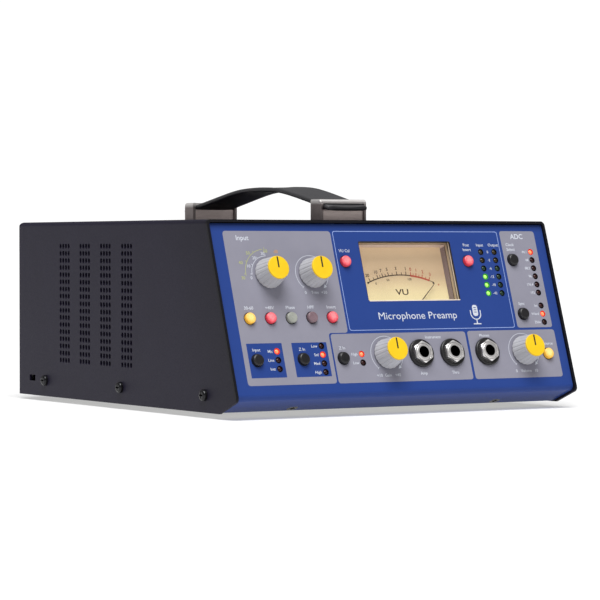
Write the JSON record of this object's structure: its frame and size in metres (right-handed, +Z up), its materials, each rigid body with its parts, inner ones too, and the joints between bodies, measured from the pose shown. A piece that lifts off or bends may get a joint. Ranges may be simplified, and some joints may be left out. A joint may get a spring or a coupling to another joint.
{
  "type": "microphone preamplifier",
  "caption": "Desktop microphone preamplifier in a wedge-fronted steel case, with a needle meter, rotary controls, lit push buttons, jacks and a strap handle.",
  "frame": {"origin": "on the floor under the feet, at the middle of the whole object's width and depth", "axes": "+Z up, +Y from the sloped front to the rear panel, +X to the right seen from the front"},
  "size_m": [0.2256, 0.2584, 0.1246],
  "materials": {
    "black_cover": "satin textured black powder coat",
    "plated_steel": "zinc plated",
    "blue_panel": "satin blue with grey and white printing",
    "rubber": "matte",
    "black_screws": "black passivated",
    "strap": "satin moulded strap",
    "handle_metal": "satin nickel",
    "nickel": "bright nickel plate",
    "black_plastic": "fine matte",
    "lamp_green": "clear tinted",
    "lamp_red": "clear tinted",
    "meter_case": "satin moulding",
    "clear_window": "clear polished",
    "dial_face": "printed warm cream",
    "needle_black": "black painted",
    "copper": "enamelled winding",
    "circuit_board": "solder resist",
    "winding_wrap": "tape wrapped",
    "knob_grey": "satin moulded",
    "cap_yellow": "satin",
    "lens_yellow": "translucent",
    "lens_red": "translucent",
    "lens_grey": "translucent",
    "lens_mauve": "translucent"
  },
  "bodies": {
    "case": {"case_screws": "black_screws", "chassis_tray": "plated_steel", "converter_card_panel": "black_cover", "front_board": "circuit_board", "front_panel": "blue_panel", "gain_rotary_switch": "black_plastic", "handle_caps": "handle_metal", "handle_saddles": "handle_metal", "handle_screws": "plated_steel", "handle_strap": "strap", "input_transformer": "plated_steel", "jack_bodies": "black_plastic", "jack_bushings": "nickel", "jack_washers": "black_plastic", "level_leds": "lamp_green", "line_output_plug": "black_plastic", "main_board": "circuit_board", "mains_inlet": "black_plastic", "mains_transformer": "winding_wrap", "meter_dial": "dial_face", "meter_housing": "meter_case", "meter_movement": "plated_steel", "meter_window": "clear_window", "mic_input_socket": "black_plastic", "panel_nuts": "nickel", "potentiometers": "plated_steel", "push_switches": "black_plastic", "rear_panel": "black_cover", "rubber_feet": "rubber", "status_leds": "lamp_red", "top_cover": "black_cover", "transformer_clamp": "plated_steel"},
    "gain_control": {"gain_knob": "knob_grey", "gain_knob_cap": "cap_yellow", "gain_shaft": "plated_steel"},
    "trim_control": {"trim_knob": "knob_grey", "trim_knob_cap": "cap_yellow", "trim_shaft": "plated_steel"},
    "instrument_control": {"instrument_knob": "knob_grey", "instrument_knob_cap": "cap_yellow", "instrument_shaft": "plated_steel"},
    "phones_control": {"phones_knob": "knob_grey", "phones_knob_cap": "cap_yellow", "phones_shaft": "plated_steel"},
    "gain_range_key": {"gain_range_button": "lens_yellow"},
    "phantom_key": {"phantom_button": "lens_red"},
    "phase_key": {"phase_button": "lens_grey"},
    "filter_key": {"filter_button": "lens_mauve"},
    "insert_key": {"insert_button": "lens_red"},
    "meter_cal_key": {"meter_cal_button": "lens_red"},
    "post_insert_key": {"post_insert_button": "lens_red"},
    "phones_source_key": {"phones_source_button": "lens_yellow"},
    "input_select_key": {"input_select_button": "black_plastic"},
    "impedance_key": {"impedance_button": "black_plastic"},
    "instrument_impedance_key": {"instrument_impedance_button": "black_plastic"},
    "clock_select_key": {"clock_select_button": "black_plastic"},
    "sync_key": {"sync_button": "black_plastic"},
    "meter_pointer": {"meter_needle": "needle_black", "meter_coil": "copper"},
    "power_switch": {"power_rocker": "black_plastic"}
  },
  "joints": [
    {"name": "gain_turn", "type": "hinge", "parent": "case", "child": "gain_control", "pos_m": [-0.0775, -0.10129, 0.07569], "axis": [0, -0.9483, 0.3173], "range_deg": [0, 90]},
    {"name": "trim_turn", "type": "hinge", "parent": "case", "child": "trim_control", "pos_m": [-0.0503, -0.10129, 0.07569], "axis": [0, -0.9483, 0.3173], "range_deg": [-150, 150]},
    {"name": "instrument_turn", "type": "hinge", "parent": "case", "child": "instrument_control", "pos_m": [-0.0119, -0.11579, 0.03235], "axis": [0, -0.9483, 0.3173], "range_deg": [-150, 150]},
    {"name": "phones_turn", "type": "hinge", "parent": "case", "child": "phones_control", "pos_m": [0.0795, -0.11579, 0.03235], "axis": [0, -0.9483, 0.3173], "range_deg": [-150, 150]},
    {"name": "gain_range_press", "type": "slide", "parent": "case", "child": "gain_range_key", "axis": [0, 0.9483, -0.3173], "range_m": [0, 0.0015], "stiffness_N_per_m": 500},
    {"name": "phantom_press", "type": "slide", "parent": "case", "child": "phantom_key", "axis": [0, 0.9483, -0.3173], "range_m": [0, 0.0015], "stiffness_N_per_m": 500},
    {"name": "phase_press", "type": "slide", "parent": "case", "child": "phase_key", "axis": [0, 0.9483, -0.3173], "range_m": [0, 0.0015], "stiffness_N_per_m": 500},
    {"name": "filter_press", "type": "slide", "parent": "case", "child": "filter_key", "axis": [0, 0.9483, -0.3173], "range_m": [0, 0.0015], "stiffness_N_per_m": 500},
    {"name": "insert_press", "type": "slide", "parent": "case", "child": "insert_key", "axis": [0, 0.9483, -0.3173], "range_m": [0, 0.0015], "stiffness_N_per_m": 500},
    {"name": "meter_cal_press", "type": "slide", "parent": "case", "child": "meter_cal_key", "axis": [0, 0.9483, -0.3173], "range_m": [0, 0.0015], "stiffness_N_per_m": 500},
    {"name": "post_insert_press", "type": "slide", "parent": "case", "child": "post_insert_key", "axis": [0, 0.9483, -0.3173], "range_m": [0, 0.0015], "stiffness_N_per_m": 500},
    {"name": "phones_source_press", "type": "slide", "parent": "case", "child": "phones_source_key", "axis": [0, 0.9483, -0.3173], "range_m": [0, 0.0015], "stiffness_N_per_m": 500},
    {"name": "input_select_press", "type": "slide", "parent": "case", "child": "input_select_key", "axis": [0, 0.9483, -0.3173], "range_m": [0, 0.0008], "stiffness_N_per_m": 900},
    {"name": "impedance_press", "type": "slide", "parent": "case", "child": "impedance_key", "axis": [0, 0.9483, -0.3173], "range_m": [0, 0.0008], "stiffness_N_per_m": 900},
    {"name": "instrument_impedance_press", "type": "slide", "parent": "case", "child": "instrument_impedance_key", "axis": [0, 0.9483, -0.3173], "range_m": [0, 0.0008], "stiffness_N_per_m": 900},
    {"name": "clock_select_press", "type": "slide", "parent": "case", "child": "clock_select_key", "axis": [0, 0.9483, -0.3173], "range_m": [0, 0.0008], "stiffness_N_per_m": 900},
    {"name": "sync_press", "type": "slide", "parent": "case", "child": "sync_key", "axis": [0, 0.9483, -0.3173], "range_m": [0, 0.0008], "stiffness_N_per_m": 900},
    {"name": "pointer_swing", "type": "hinge", "parent": "case", "child": "meter_pointer", "pos_m": [0.0131, -0.10849, 0.05416], "axis": [0, -0.9483, 0.3173], "range_deg": [0, 96.5], "stiffness_Nm_per_rad": 0.00002, "springref_deg": 96.5},
    {"name": "rocker_tip", "type": "hinge", "parent": "case", "child": "power_switch", "pos_m": [0.0885, 0.12169, 0.0369], "axis": [1, 0, 0], "range_deg": [0, 18]}
  ]
}
